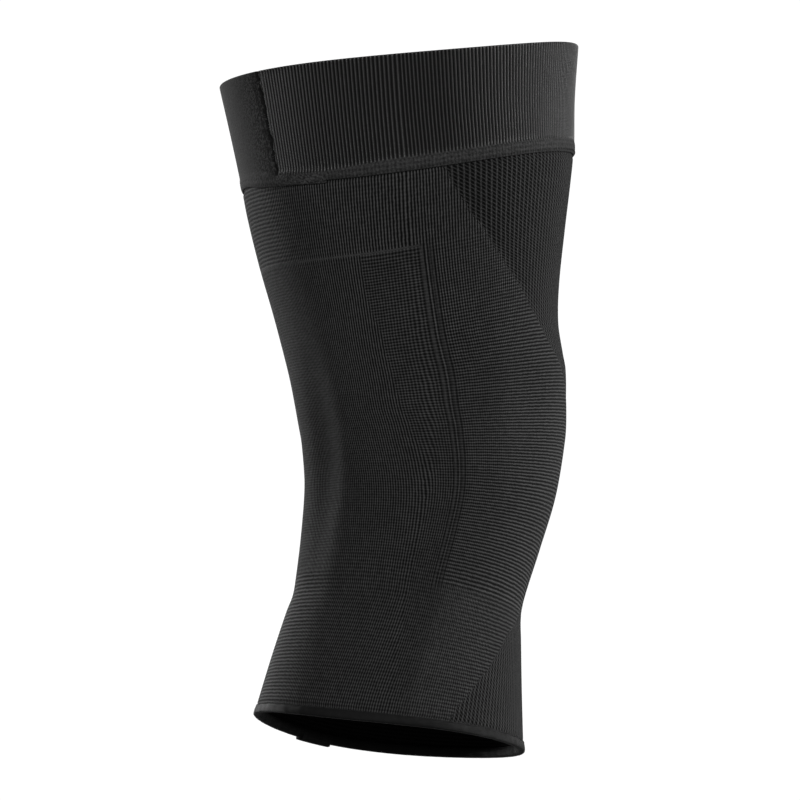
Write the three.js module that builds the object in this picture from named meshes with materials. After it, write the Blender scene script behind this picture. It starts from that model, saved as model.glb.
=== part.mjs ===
import * as THREE from "three";

// A knitted knee sleeve that keeps the form of a slightly bent knee: a shaped tube,
// a wide ribbed cuff sewn over its thigh end and a narrow binding folded over its calf end.
// Millimetres. +Z runs up the leg, +X points out of the kneecap, +Y is one side.
// The origin is in the hollow, at the middle of the knee.

// Driving sizes
const sleeveLength = 282;
const kneeDepth = 112;
const tubeWall = 1.9;
const tubeEndWall = 1.3;
const cuffHeight = 44.3;
const cuffWall = 2.0;
const cuffLap = 5.6;
const selvedgeWall = 1.1;
const hemHeight = 4.2;
const hemLeaf = 0.7;
const hemOverlapRise = 0.8;
const seamDepth = 0.7;
const seamHalfTurn = 0.7;
const gap = 0.3;

// Places round the leg, in degrees from the kneecap towards +Y
const cuffSeamTurn = 219;
const hemOverlapTurns = [116, 132];

const columnCount = 60;
const outerRowCount = 30;
const innerRowCount = 20;

// Outline of each section, front to back. at is a share of sleeveLength above the origin,
// tilt is how far the front is raised in degrees, back and front are reaches
// and half is half the width, as shares of kneeDepth.
const sections = [
  { name: "calf rim", at: -0.455, tilt: -8.0, back: 0.660, front: 0.352, half: 0.509 },
  { name: "calf", at: -0.367, tilt: -7.0, back: 0.597, front: 0.346, half: 0.478 },
  { name: "calf top", at: -0.293, tilt: -6.3, back: 0.539, front: 0.343, half: 0.451 },
  { name: "shin start", at: -0.268, tilt: -6.0, back: 0.516, front: 0.342, half: 0.445 },
  { name: "narrowest", at: -0.241, tilt: -5.6, back: 0.505, front: 0.350, half: 0.442 },
  { name: "below knee", at: -0.167, tilt: -4.1, back: 0.486, front: 0.411, half: 0.446 },
  { name: "kneecap foot", at: -0.092, tilt: -2.1, back: 0.475, front: 0.471, half: 0.460 },
  { name: "knee", at: -0.015, tilt: 0.4, back: 0.486, front: 0.503, half: 0.471 },
  { name: "kneecap", at: 0.024, tilt: 1.7, back: 0.501, front: 0.506, half: 0.473 },
  { name: "kneecap peak", at: 0.078, tilt: 3.4, back: 0.523, front: 0.507, half: 0.473 },
  { name: "kneecap head", at: 0.100, tilt: 4.1, back: 0.533, front: 0.498, half: 0.473 },
  { name: "above knee", at: 0.142, tilt: 5.1, back: 0.556, front: 0.484, half: 0.478 },
  { name: "low thigh", at: 0.198, tilt: 6.0, back: 0.590, front: 0.488, half: 0.487 },
  { name: "thigh", at: 0.272, tilt: 6.4, back: 0.641, front: 0.508, half: 0.509 },
  { name: "under cuff", at: 0.347, tilt: 6.5, back: 0.686, front: 0.531, half: 0.536 },
  { name: "cuff foot", at: 0.389, tilt: 6.4, back: 0.706, front: 0.541, half: 0.549 },
  { name: "cuff", at: 0.466, tilt: 6.6, back: 0.746, front: 0.544, half: 0.567 },
  { name: "thigh rim", at: 0.546, tilt: 6.6, back: 0.791, front: 0.558, half: 0.589 },
];

// Fullness of each section: 2 is an ellipse and more is squarer, for its front and its back half
const fullness = [
  { name: "calf rim", at: -0.455, fore: 2.0, aft: 2.1 },
  { name: "shin", at: -0.27, fore: 2.0, aft: 2.2 },
  { name: "knee", at: 0.0, fore: 2.3, aft: 2.5 },
  { name: "kneecap peak", at: 0.078, fore: 2.35, aft: 2.45 },
  { name: "thigh", at: 0.272, fore: 2.1, aft: 2.25 },
  { name: "thigh rim", at: 0.546, fore: 1.95, aft: 2.1 },
];

// How each section hangs between front and back. dip is how far its sides drop and lean is
// how far that drop moves to the back, as shares of kneeDepth.
const hang = [
  { name: "calf rim", at: -0.455, dip: 0.019, lean: 0.020 },
  { name: "calf", at: -0.367, dip: 0.004, lean: 0.004 },
  { name: "below knee", at: -0.167, dip: 0.0, lean: 0.0 },
  { name: "knee", at: 0.0, dip: 0.014, lean: 0.006 },
  { name: "low thigh", at: 0.198, dip: 0.045, lean: 0.020 },
  { name: "thigh", at: 0.272, dip: 0.058, lean: 0.018 },
  { name: "cuff foot", at: 0.389, dip: 0.060, lean: 0.016 },
  { name: "thigh rim", at: 0.546, dip: 0.027, lean: -0.018 },
];

// Soft dents and rises, the same on both sides. turn is degrees from the kneecap,
// wide is degrees, tall is a share of sleeveLength, rise is a share of kneeDepth.
const reliefs = [
  { name: "kneecap dome", at: 0.035, turn: 0, wide: 24, tall: 0.085, rise: 0.006 },
  { name: "hollow beside kneecap", at: 0.03, turn: 46, wide: 15, tall: 0.11, rise: -0.016 },
  { name: "hollow above kneecap", at: 0.15, turn: 26, wide: 18, tall: 0.05, rise: -0.008 },
  { name: "tendon ridge", at: -0.05, turn: 165, wide: 9, tall: 0.16, rise: 0.006 },
  { name: "hollow before tendon", at: -0.05, turn: 145, wide: 9, tall: 0.17, rise: -0.014 },
  { name: "back of knee hollow", at: -0.05, turn: 180, wide: 10, tall: 0.13, rise: -0.012 },
  { name: "crease at the side", at: -0.03, turn: 84, wide: 6, tall: 0.10, rise: -0.008 },
];

// Value of one column of a table at a height, on a smooth curve through its rows
function valueAt(table, column, at) {
  const last = table.length - 1;
  let k = 0;
  while (k < last - 1 && at > table[k + 1].at) {
    k += 1;
  }
  const slope = (i) => {
    const low = table[Math.max(i - 1, 0)];
    const high = table[Math.min(i + 1, last)];
    return (high[column] - low[column]) / (high.at - low.at);
  };
  const a = table[k];
  const b = table[k + 1];
  const span = b.at - a.at;
  const t = (at - a.at) / span;
  if (t < 0) {
    return a[column] + slope(k) * (at - a.at);
  }
  if (t > 1) {
    return b[column] + slope(k + 1) * (at - b.at);
  }
  const t2 = t * t;
  const t3 = t2 * t;
  return (
    (2 * t3 - 3 * t2 + 1) * a[column] +
    (t3 - 2 * t2 + t) * span * slope(k) +
    (3 * t2 - 2 * t3) * b[column] +
    (t3 - t2) * span * slope(k + 1)
  );
}

// Outward rise of the cloth at a turn and a height
function reliefAt(turn, at) {
  const side = turn > 180 ? 360 - turn : turn;
  let rise = 0;
  for (const r of reliefs) {
    const across = (side - r.turn) / r.wide;
    const along = (at - r.at) / r.tall;
    rise += r.rise * kneeDepth * Math.exp(-across * across - along * along);
  }
  return rise;
}

// Point of the cloth at a turn in degrees and a height share, moved outward by out
function clothPoint(turn, at, out) {
  const c = Math.cos((turn * Math.PI) / 180);
  const s = Math.sin((turn * Math.PI) / 180);
  const back = valueAt(sections, "back", at) * kneeDepth;
  const front = valueAt(sections, "front", at) * kneeDepth;
  const half = valueAt(sections, "half", at) * kneeDepth;
  const tilt = Math.tan((valueAt(sections, "tilt", at) * Math.PI) / 180);
  const power = 2 / valueAt(fullness, c > 0 ? "fore" : "aft", at);
  const reach = (front + back) / 2;
  const x = reach * Math.sign(c) * Math.abs(c) ** power;
  const y = half * Math.sign(s) * Math.abs(s) ** power;
  const normal = new THREE.Vector2(c / reach, s / half).normalize();
  const rise = out + reliefAt(turn, at);
  const drop = s * s * (valueAt(hang, "dip", at) - c * valueAt(hang, "lean", at)) * kneeDepth;
  return new THREE.Vector3(
    (front - back) / 2 + x + normal.x * rise,
    y + normal.y * rise,
    at * sleeveLength + (x + normal.x * rise) * tilt - drop,
  );
}

// Closed wall round the leg. Its section runs up the outside, over the top,
// down the inside and back under; each step has a height share and an outward distance.
function wall(steps, turns) {
  const positions = [];
  const triangles = [];
  for (const step of steps) {
    for (const turn of turns) {
      const change = step.change ? step.change(turn) : { out: 0, up: 0 };
      const p = clothPoint(turn, step.at + change.up / sleeveLength, step.out + change.out);
      positions.push(p.x, p.y, p.z);
    }
  }
  const across = turns.length;
  for (let i = 0; i < steps.length; i += 1) {
    for (let j = 0; j < across; j += 1) {
      const a = i * across + j;
      const b = i * across + ((j + 1) % across);
      const c = ((i + 1) % steps.length) * across + ((j + 1) % across);
      const d = ((i + 1) % steps.length) * across + j;
      triangles.push(a, b, c, a, c, d);
    }
  }
  const geometry = new THREE.BufferGeometry();
  geometry.setAttribute("position", new THREE.Float32BufferAttribute(positions, 3));
  geometry.setIndex(triangles);
  geometry.computeVertexNormals();
  return geometry;
}

// Turns of the columns, with extra ones where a piece needs them
function columnTurns(extra) {
  const turns = [];
  for (let j = 0; j < columnCount; j += 1) {
    turns.push((j * 360) / columnCount);
  }
  const clear = turns.filter((t) => extra.every((e) => Math.abs(t - e) > 1.2));
  return clear.concat(extra).sort((a, b) => a - b);
}

// Heights from low to high as shares of sleeveLength, evenly spaced
function evenHeights(low, high, count) {
  const heights = [];
  for (let i = 0; i < count; i += 1) {
    heights.push(low + ((high - low) * i) / (count - 1));
  }
  return heights;
}

const calfRim = sections[0].at;
const thighRim = sections[sections.length - 1].at;
const cuffFoot = thighRim - cuffHeight / sleeveLength;
const lift = (mm) => mm / sleeveLength;

// Knitted tube: full wall between the cuff and the hem, pinched thinner inside both
const cuffPinch = -(selvedgeWall - 0.25) - gap;
const hemPinch = 0.35 - hemLeaf - gap;
const tubeLow = calfRim + lift(hemHeight + 1.8);
const tubeHigh = cuffFoot - lift(2.4);
const tubeSteps = [
  { at: calfRim + lift(1.5), out: hemPinch },
  { at: calfRim + lift(hemHeight + 0.2), out: hemPinch },
  ...evenHeights(tubeLow, tubeHigh, outerRowCount).map((at) => ({ at, out: 0 })),
  { at: cuffFoot - lift(1.0), out: -0.5 },
  { at: cuffFoot - lift(0.5), out: cuffPinch },
  { at: cuffFoot + lift(cuffLap - 0.4), out: cuffPinch },
  { at: cuffFoot + lift(cuffLap), out: cuffPinch - 0.4 },
  { at: cuffFoot + lift(cuffLap), out: cuffPinch - tubeEndWall },
  { at: cuffFoot - lift(1.5), out: cuffPinch - tubeEndWall },
  ...evenHeights(tubeLow, tubeHigh - lift(2), innerRowCount)
    .reverse()
    .map((at) => ({ at, out: -tubeWall })),
  { at: calfRim + lift(hemHeight + 0.2), out: hemPinch - tubeEndWall },
  { at: calfRim + lift(1.5), out: hemPinch - tubeEndWall },
];

// Thigh cuff: ribbed band with a folded top edge and a thin flat selvedge lapped over the tube.
// Its joining seam is a narrow groove down the outside.
const seamTurns = [-1, -0.35, 0.35, 1].map((k) => cuffSeamTurn + k * seamHalfTurn);
const seamGroove = (turn) => ({
  out: Math.abs(turn - cuffSeamTurn) < 0.5 * seamHalfTurn ? -seamDepth : 0,
  up: 0,
});
const cuffOutside = [
  { name: "selvedge edge", up: 0.4, out: 0.2 },
  { name: "selvedge", up: 2.0, out: 0.4 },
  { name: "selvedge head", up: 4.0, out: 0.25 },
  { name: "rib foot", up: 5.4, out: 0.0 },
  { name: "low ribs", up: 14.0, out: 0.0 },
  { name: "middle ribs", up: 24.0, out: 0.0 },
  { name: "high ribs", up: 34.0, out: 0.0 },
  { name: "fold foot", up: cuffHeight - 1.6, out: 0.0 },
  { name: "fold shoulder", up: cuffHeight - 0.5, out: -0.3 },
];
const cuffInside = [
  { name: "fold crest", up: cuffHeight, out: -cuffWall / 2 },
  { name: "inner fold", up: cuffHeight - 0.5, out: 0.3 - cuffWall },
  { name: "inner fold foot", up: cuffHeight - 1.6, out: -cuffWall },
  { name: "inner ribs", up: 24.0, out: -cuffWall },
  { name: "lap head", up: cuffLap + 1.8, out: -cuffWall },
  { name: "lap end", up: cuffLap + gap, out: 0.25 - selvedgeWall },
  { name: "lap foot", up: 0.0, out: 0.25 - selvedgeWall },
  { name: "selvedge underside", up: 0.0, out: -0.2 },
];
const cuffSteps = [
  ...cuffOutside.map((p) => ({ at: cuffFoot + lift(p.up), out: p.out, change: seamGroove })),
  ...cuffInside.map((p) => ({ at: cuffFoot + lift(p.up), out: p.out })),
];

// Calf hem: a narrow strip folded over the end of the tube; where its two ends
// overlap it is thicker and hangs a little lower.
const overlapStep = 0.7;
const overlapTurns = [
  hemOverlapTurns[0] - overlapStep,
  hemOverlapTurns[0],
  hemOverlapTurns[1],
  hemOverlapTurns[1] + overlapStep,
];
const overlapDrop = (turn) => ({
  out: 0,
  up: turn >= hemOverlapTurns[0] && turn <= hemOverlapTurns[1] ? -hemOverlapRise : 0,
});
const overlapSwell = (turn) => ({
  out: turn >= hemOverlapTurns[0] && turn <= hemOverlapTurns[1] ? 0.4 : 0,
  up: 0,
});
const channelOut = 0.35 - hemLeaf;
const channelIn = hemPinch - tubeEndWall - gap;
const hemProfile = [
  { name: "outside foot", up: 0.6, out: 0.35, change: overlapSwell },
  { name: "outside", up: 2.2, out: 0.45, change: overlapSwell },
  { name: "outside head", up: hemHeight - 0.3, out: 0.3, change: overlapSwell },
  { name: "outer lip", up: hemHeight, out: 0.0 },
  { name: "channel mouth out", up: hemHeight - 0.1, out: channelOut },
  { name: "channel floor out", up: 1.2, out: channelOut },
  { name: "channel floor in", up: 1.2, out: channelIn },
  { name: "channel mouth in", up: hemHeight - 0.1, out: channelIn },
  { name: "inner lip", up: hemHeight, out: channelIn - 0.35 },
  { name: "inside head", up: hemHeight - 0.3, out: channelIn - hemLeaf },
  { name: "inside foot", up: 0.6, out: channelIn - hemLeaf },
  { name: "inner rim", up: 0.0, out: channelIn - 0.1, change: overlapDrop },
  { name: "outer rim", up: 0.0, out: channelOut + 0.1, change: overlapDrop },
];
const hemSteps = hemProfile.map((p) => ({
  at: calfRim + lift(p.up),
  out: p.out,
  change: p.change,
}));

function piece(name, geometry, color, roughness) {
  const material = new THREE.MeshStandardMaterial({ color, roughness, metalness: 0 });
  const mesh = new THREE.Mesh(geometry, material);
  mesh.name = name;
  return mesh;
}

const group = new THREE.Group();
group.name = "knee_sleeve";
group.add(piece("knit_tube", wall(tubeSteps, columnTurns([])), 0x2f3133, 0.9));
group.add(piece("thigh_cuff", wall(cuffSteps, columnTurns(seamTurns)), 0x3a3b3d, 0.85));
group.add(piece("calf_hem", wall(hemSteps, columnTurns(overlapTurns)), 0x232426, 0.8));

export default group;
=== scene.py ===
"""Knee sleeve in its worn form: a shaped knitted tube, a wide ribbed cuff and a bound calf hem.

Lengths are in metres and turns in degrees round the leg, from the kneecap towards +Y. The frame is
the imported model's own: +Z runs up the leg and +X out of the kneecap.
"""

import logging
import math
from dataclasses import dataclass, field
from enum import Enum
from typing import Callable, Sequence

import bmesh
import bpy
from mathutils import Matrix, Vector


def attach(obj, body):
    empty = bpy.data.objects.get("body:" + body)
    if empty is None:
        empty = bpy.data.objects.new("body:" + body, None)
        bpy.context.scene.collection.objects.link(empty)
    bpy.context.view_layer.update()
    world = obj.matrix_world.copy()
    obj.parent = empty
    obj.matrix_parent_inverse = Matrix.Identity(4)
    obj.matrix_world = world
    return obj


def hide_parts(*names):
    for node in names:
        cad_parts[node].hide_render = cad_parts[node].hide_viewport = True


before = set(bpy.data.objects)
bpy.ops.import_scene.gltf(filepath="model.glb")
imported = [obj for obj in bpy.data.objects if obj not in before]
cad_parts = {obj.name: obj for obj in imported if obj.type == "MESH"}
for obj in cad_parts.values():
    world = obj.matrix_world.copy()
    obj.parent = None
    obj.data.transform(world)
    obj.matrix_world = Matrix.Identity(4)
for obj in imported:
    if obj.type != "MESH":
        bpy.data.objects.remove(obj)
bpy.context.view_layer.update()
log = logging.getLogger("knee_sleeve")

MM = 0.001
SLEEVE_LENGTH = 282 * MM
KNEE_DEPTH = 112 * MM
CALF_RIM = -0.455
THIGH_RIM = 0.546
CUFF_HEIGHT = 45.4 * MM
CUFF_FOOT = THIGH_RIM - CUFF_HEIGHT / SLEEVE_LENGTH
HEM_HEIGHT = 3.8 * MM
WALES = 336
RIBS = 280
UV_WALES = 400
UV_COURSES = 200
# the raised line: its wale, the wales from one ridge to the next, and the courses where it fades out
SEAM_WALE = 81.5
RIDGE_PITCH = 1.55
RIDGE_FOOT = (35.5, 39.5)
RIDGE_HEAD = (152.5, 150.0)


class Hold(Enum):
    """How a piece of cloth is held."""

    STRETCHED = "stretched"


class Slot(Enum):
    """The record's material slots."""

    KNIT = "knit"
    RIB = "rib"
    HEM = "hem"


@dataclass(frozen=True)
class SmoothCurve:
    """A smooth curve through rows of (place, value)."""

    rows: tuple[tuple[float, float], ...]

    def slope(self, k: int) -> float:
        """Slope at row k, taken from its neighbours."""
        low, high = self.rows[max(k - 1, 0)], self.rows[min(k + 1, len(self.rows) - 1)]
        return (high[1] - low[1]) / (high[0] - low[0])

    def at(self, place: float) -> float:
        """Value at a place, carried on straight beyond the first and last rows.

        Args:
            place: where along the curve.

        Returns:
            The value there.
        """
        last = len(self.rows) - 1
        k = 0
        while k < last - 1 and place > self.rows[k + 1][0]:
            k += 1
        (start, a), (end, b) = self.rows[k], self.rows[k + 1]
        span = end - start
        t = (place - start) / span
        if t < 0:
            return a + self.slope(k) * (place - start)
        if t > 1:
            return b + self.slope(k + 1) * (place - end)
        t2, t3 = t * t, t * t * t
        return (
            (2 * t3 - 3 * t2 + 1) * a
            + (t3 - 2 * t2 + t) * span * self.slope(k)
            + (3 * t2 - 2 * t3) * b
            + (t3 - t2) * span * self.slope(k + 1)
        )


def curve(rows: Sequence[Sequence[float]], column: int) -> SmoothCurve:
    """Smooth curve of one column of a table against its first column."""
    return SmoothCurve(tuple((row[0], row[column]) for row in rows))


def ramp(value: float, start: float, end: float) -> float:
    """Smooth rise from 0 at start to 1 at end."""
    t = min(1.0, max(0.0, (value - start) / (end - start)))
    return t * t * (3 - 2 * t)


def spread(start: float, end: float, rows: int) -> list[float]:
    """Evenly spaced values from start to end, with both."""
    return [start + (end - start) * k / rows for k in range(rows + 1)]


@dataclass(frozen=True)
class Swell:
    """A soft hump or hollow of the leg, mirrored on its other side."""

    at: float
    turn: float
    wide: float
    tall: float
    rise: float

    def height(self, side: float, at: float) -> float:
        """Rise at a place, as a share of the knee's depth."""
        across, along = (side - self.turn) / self.wide, (at - self.at) / self.tall
        return self.rise * math.exp(-(across**2) - along**2)


@dataclass(frozen=True)
class Level:
    """The leg's section at one height: slope, reaches, fullness of front and back, and dip of the sides."""

    tilt: float
    back: float
    front: float
    half: float
    fore: float
    aft: float
    dip: float
    lean: float


@dataclass
class LegForm:
    """The leg that the sleeve is stretched over, as shares of its length and of the knee's depth."""

    # height, tilt in degrees, then reach to the back, to the front and to each side
    sections: tuple[tuple[float, ...], ...] = (
        (-0.455, -8.0, 0.660, 0.352, 0.509),
        (-0.367, -7.0, 0.597, 0.346, 0.478),
        (-0.293, -6.3, 0.539, 0.343, 0.451),
        (-0.268, -6.0, 0.516, 0.342, 0.445),
        (-0.241, -5.6, 0.505, 0.350, 0.442),
        (-0.167, -4.1, 0.486, 0.411, 0.446),
        (-0.092, -2.1, 0.475, 0.471, 0.460),
        (-0.015, 0.4, 0.486, 0.503, 0.471),
        (0.024, 1.7, 0.501, 0.506, 0.473),
        (0.078, 3.4, 0.523, 0.507, 0.473),
        (0.100, 4.1, 0.533, 0.498, 0.473),
        (0.142, 5.1, 0.556, 0.484, 0.478),
        (0.198, 6.0, 0.590, 0.488, 0.487),
        (0.272, 6.4, 0.641, 0.508, 0.509),
        (0.347, 6.5, 0.686, 0.531, 0.536),
        (0.389, 6.4, 0.706, 0.541, 0.549),
        (0.466, 6.6, 0.746, 0.544, 0.567),
        (0.546, 6.6, 0.791, 0.558, 0.589),
    )
    # height, fullness of the section's front and back
    fullness: tuple[tuple[float, ...], ...] = (
        (-0.455, 2.0, 2.1),
        (-0.27, 2.0, 2.2),
        (0.0, 2.3, 2.5),
        (0.078, 2.35, 2.45),
        (0.272, 2.1, 2.25),
        (0.546, 1.95, 2.1),
    )
    # height, how far the sides dip, and how much more of it lies behind
    hang: tuple[tuple[float, ...], ...] = (
        (-0.455, 0.019, 0.020),
        (-0.367, 0.004, 0.004),
        (-0.167, 0.0, 0.0),
        (0.0, 0.014, 0.006),
        (0.198, 0.045, 0.020),
        (0.272, 0.058, 0.018),
        (0.389, 0.060, 0.016),
        (0.546, 0.027, -0.018),
    )
    swells: tuple[Swell, ...] = (
        Swell(0.035, 0, 24, 0.085, 0.006),
        Swell(0.03, 46, 15, 0.11, -0.016),
        Swell(0.15, 26, 18, 0.05, -0.008),
        Swell(-0.05, 165, 9, 0.16, 0.008),
        Swell(-0.05, 143, 11, 0.17, -0.024),
        Swell(-0.05, 180, 10, 0.13, -0.012),
        Swell(-0.03, 84, 6, 0.10, -0.008),
    )
    known: dict[float, Level] = field(default_factory=dict)

    def level(self, at: float) -> Level:
        """Section at a height, worked out once for each height.

        Args:
            at: height as a share of the sleeve's length.

        Returns:
            The section.
        """
        key = round(at, 7)
        if key not in self.known:
            tilt, back, front, half = (curve(self.sections, k).at(at) for k in (1, 2, 3, 4))
            fore, aft = (curve(self.fullness, k).at(at) for k in (1, 2))
            dip, lean = (curve(self.hang, k).at(at) for k in (1, 2))
            reaches = [reach * KNEE_DEPTH for reach in (back, front, half)]
            self.known[key] = Level(math.tan(math.radians(tilt)), *reaches, fore, aft, dip, lean)
        return self.known[key]

    def point(self, turn: float, at: float, out: float = 0.0) -> Vector:
        """Place on the cloth.

        Args:
            turn: degrees round the leg.
            at: height as a share of the sleeve's length.
            out: how far outside the cloth's outer face.

        Returns:
            The place in the frame.
        """
        level = self.level(at)
        c, s = math.cos(math.radians(turn)), math.sin(math.radians(turn))
        power = 2 / (level.fore if c > 0 else level.aft)
        reach = (level.front + level.back) / 2
        across, along = c / reach, s / level.half
        size = math.hypot(across, along)
        side = 360 - turn if turn > 180 else turn
        rise = out + sum(swell.height(side, at) for swell in self.swells) * KNEE_DEPTH
        x = reach * math.copysign(abs(c) ** power, c) + across / size * rise
        y = level.half * math.copysign(abs(s) ** power, s) + along / size * rise
        drop = s * s * (level.dip - c * level.lean) * KNEE_DEPTH
        return Vector(((level.front - level.back) / 2 + x, y, at * SLEEVE_LENGTH + x * level.tilt - drop))


@dataclass
class KnitCount:
    """Where each wale and course of the knit lies on the leg.

    Wales are counted both ways from the kneecap and courses up from the calf.
    """

    # height of the ring and height of one course there, in millimetres
    pitch: tuple[tuple[float, float], ...] = (
        (-128, 1.50), (-115, 1.52), (-100, 1.58), (-85, 1.63), (-69, 1.70), (-62, 1.50),
        (-55, 1.24), (-45, 1.20), (-30, 1.18), (-10, 1.17), (10, 1.26), (30, 1.36),
        (50, 1.36), (66, 1.32), (73, 1.55), (80, 1.68), (110, 1.64),
    )
    # height and how much higher the courses run over the kneecap than round the back, in millimetres
    rise: tuple[tuple[float, float], ...] = (
        (-128, -1.5), (-109, -3.2), (-97, -4.5), (-71, -6.6), (-59, -6.0), (-46, -3.5), (-34, -1.0),
        (-21, 2.0), (4, 4.5), (30, 6.0), (56, 8.0), (77, 7.0), (95, 4.5), (110, 2.0),
    )
    # height and how far the wales at the side shift to the front, in degrees
    drift: tuple[tuple[float, float], ...] = (
        (-128, 0.0), (-118, 1.5), (-100, 5.5), (-85, 8.5), (-73, 10.0), (-60, 10.1), (-45, 9.8), (-33, 8.9),
        (-16, 6.0), (-9.5, 4.7), (4, 2.4), (15, 1.4), (26, 0.6), (45, 0.5), (77, 0.0), (112, 0.0),
    )
    start: float = -130.0
    step: float = 1.0
    # turn up to which the courses rise to the kneecap, how sharply, and how much they drop at the back
    rise_turn: float = 105.0
    rise_power: float = 1.3
    back_drop: float = 3.5
    totals: list[float] = field(default_factory=list)

    def __post_init__(self) -> None:
        """Adds the courses up from the calf."""
        pitch, total, height = SmoothCurve(self.pitch), 0.0, self.start
        while height < -self.start:
            self.totals.append(total)
            total += self.step / pitch.at(height)
            height += self.step

    def courses(self, height: float) -> float:
        """Courses from the calf to a height of the ring, in millimetres.

        Args:
            height: the height.

        Returns:
            The count, with its fraction.
        """
        place = max(0.0, (height - self.start) / self.step)
        k = min(int(place), len(self.totals) - 2)
        return self.totals[k] + (self.totals[k + 1] - self.totals[k]) * (place - k)

    def course(self, side: float, at: float) -> float:
        """Course that passes a place.

        Args:
            side: degrees from the kneecap, either way.
            at: height as a share of the sleeve's length.

        Returns:
            The count, with its fraction.
        """
        height = at * SLEEVE_LENGTH / MM
        lift = SmoothCurve(self.rise).at(height) * max(0.0, 1 - side / self.rise_turn) ** self.rise_power
        drop = self.back_drop * ramp(side, self.rise_turn, 180) * ramp(height, 20, 70)
        return self.courses(height - lift + drop)

    def side(self, wale: float, at: float) -> float:
        """Degrees from the kneecap at which a wale lies, at a height.

        Args:
            wale: count from the kneecap.
            at: height as a share of the sleeve's length.

        Returns:
            The turn from the kneecap.
        """
        drift = SmoothCurve(self.drift).at(at * SLEEVE_LENGTH / MM)
        straight = wale * 360 / WALES
        side = straight
        for _ in range(4):
            side = straight - drift * math.sin(math.radians(side))
        return side


@dataclass(frozen=True)
class Step:
    """One step along a wall's section: height on the leg, distance out, face and whether it has relief."""

    at: float
    out: float
    inside: bool = False
    relief: bool = False


@dataclass
class Wall:
    """A closed wall of cloth round the leg, wrapped from a flat grid.

    The grid's columns run round the leg and its rows follow the section, down one face and up the other.
    """

    columns: Sequence[float]
    steps: Sequence[Step]
    place: Callable[[float, Step], Vector]
    count: Callable[[float, Step], tuple[float, float]]
    uv_name: str

    def build(self, name: str) -> bpy.types.Object:
        """Makes the wall.

        Args:
            name: the piece's name.

        Returns:
            The piece, smooth, with its UV map and its inner faces on material 1.
        """
        across, along = len(self.columns) - 1, len(self.steps) - 1
        work = bmesh.new()
        bmesh.ops.create_grid(work, x_segments=across, y_segments=along, size=0.5)
        uv = work.loops.layers.uv.new(self.uv_name)
        cells = {}
        for vertex in work.verts:
            cells[vertex] = (round((vertex.co.x + 0.5) * across), round((vertex.co.y + 0.5) * along))
        counts = {
            (i, j): self.count(column, step)
            for i, column in enumerate(self.columns)
            for j, step in enumerate(self.steps)
        }
        for face in work.faces:
            face.smooth = True
            rows = [cells[vertex][1] for vertex in face.verts]
            face.material_index = int(self.steps[min(rows)].inside and self.steps[max(rows)].inside)
            for loop in face.loops:
                loop[uv].uv = counts[cells[loop.vert]]
        for vertex, (i, j) in cells.items():
            vertex.co = self.place(self.columns[i], self.steps[j])
        bmesh.ops.remove_doubles(work, verts=work.verts, dist=1e-6)
        bmesh.ops.recalc_face_normals(work, faces=work.faces)
        return to_object(work, name)


def to_object(work: bmesh.types.BMesh, name: str) -> bpy.types.Object:
    """Turns finished mesh work into an object at the origin.

    Args:
        work: the bmesh, which is freed.
        name: the piece's name.

    Returns:
        The object, linked to the scene.
    """
    mesh = bpy.data.meshes.new(name)
    work.to_mesh(mesh)
    work.free()
    piece = bpy.data.objects.new(name, mesh)
    bpy.context.collection.objects.link(piece)
    return piece


Socket = bpy.types.NodeSocket
Term = Socket | float


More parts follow.
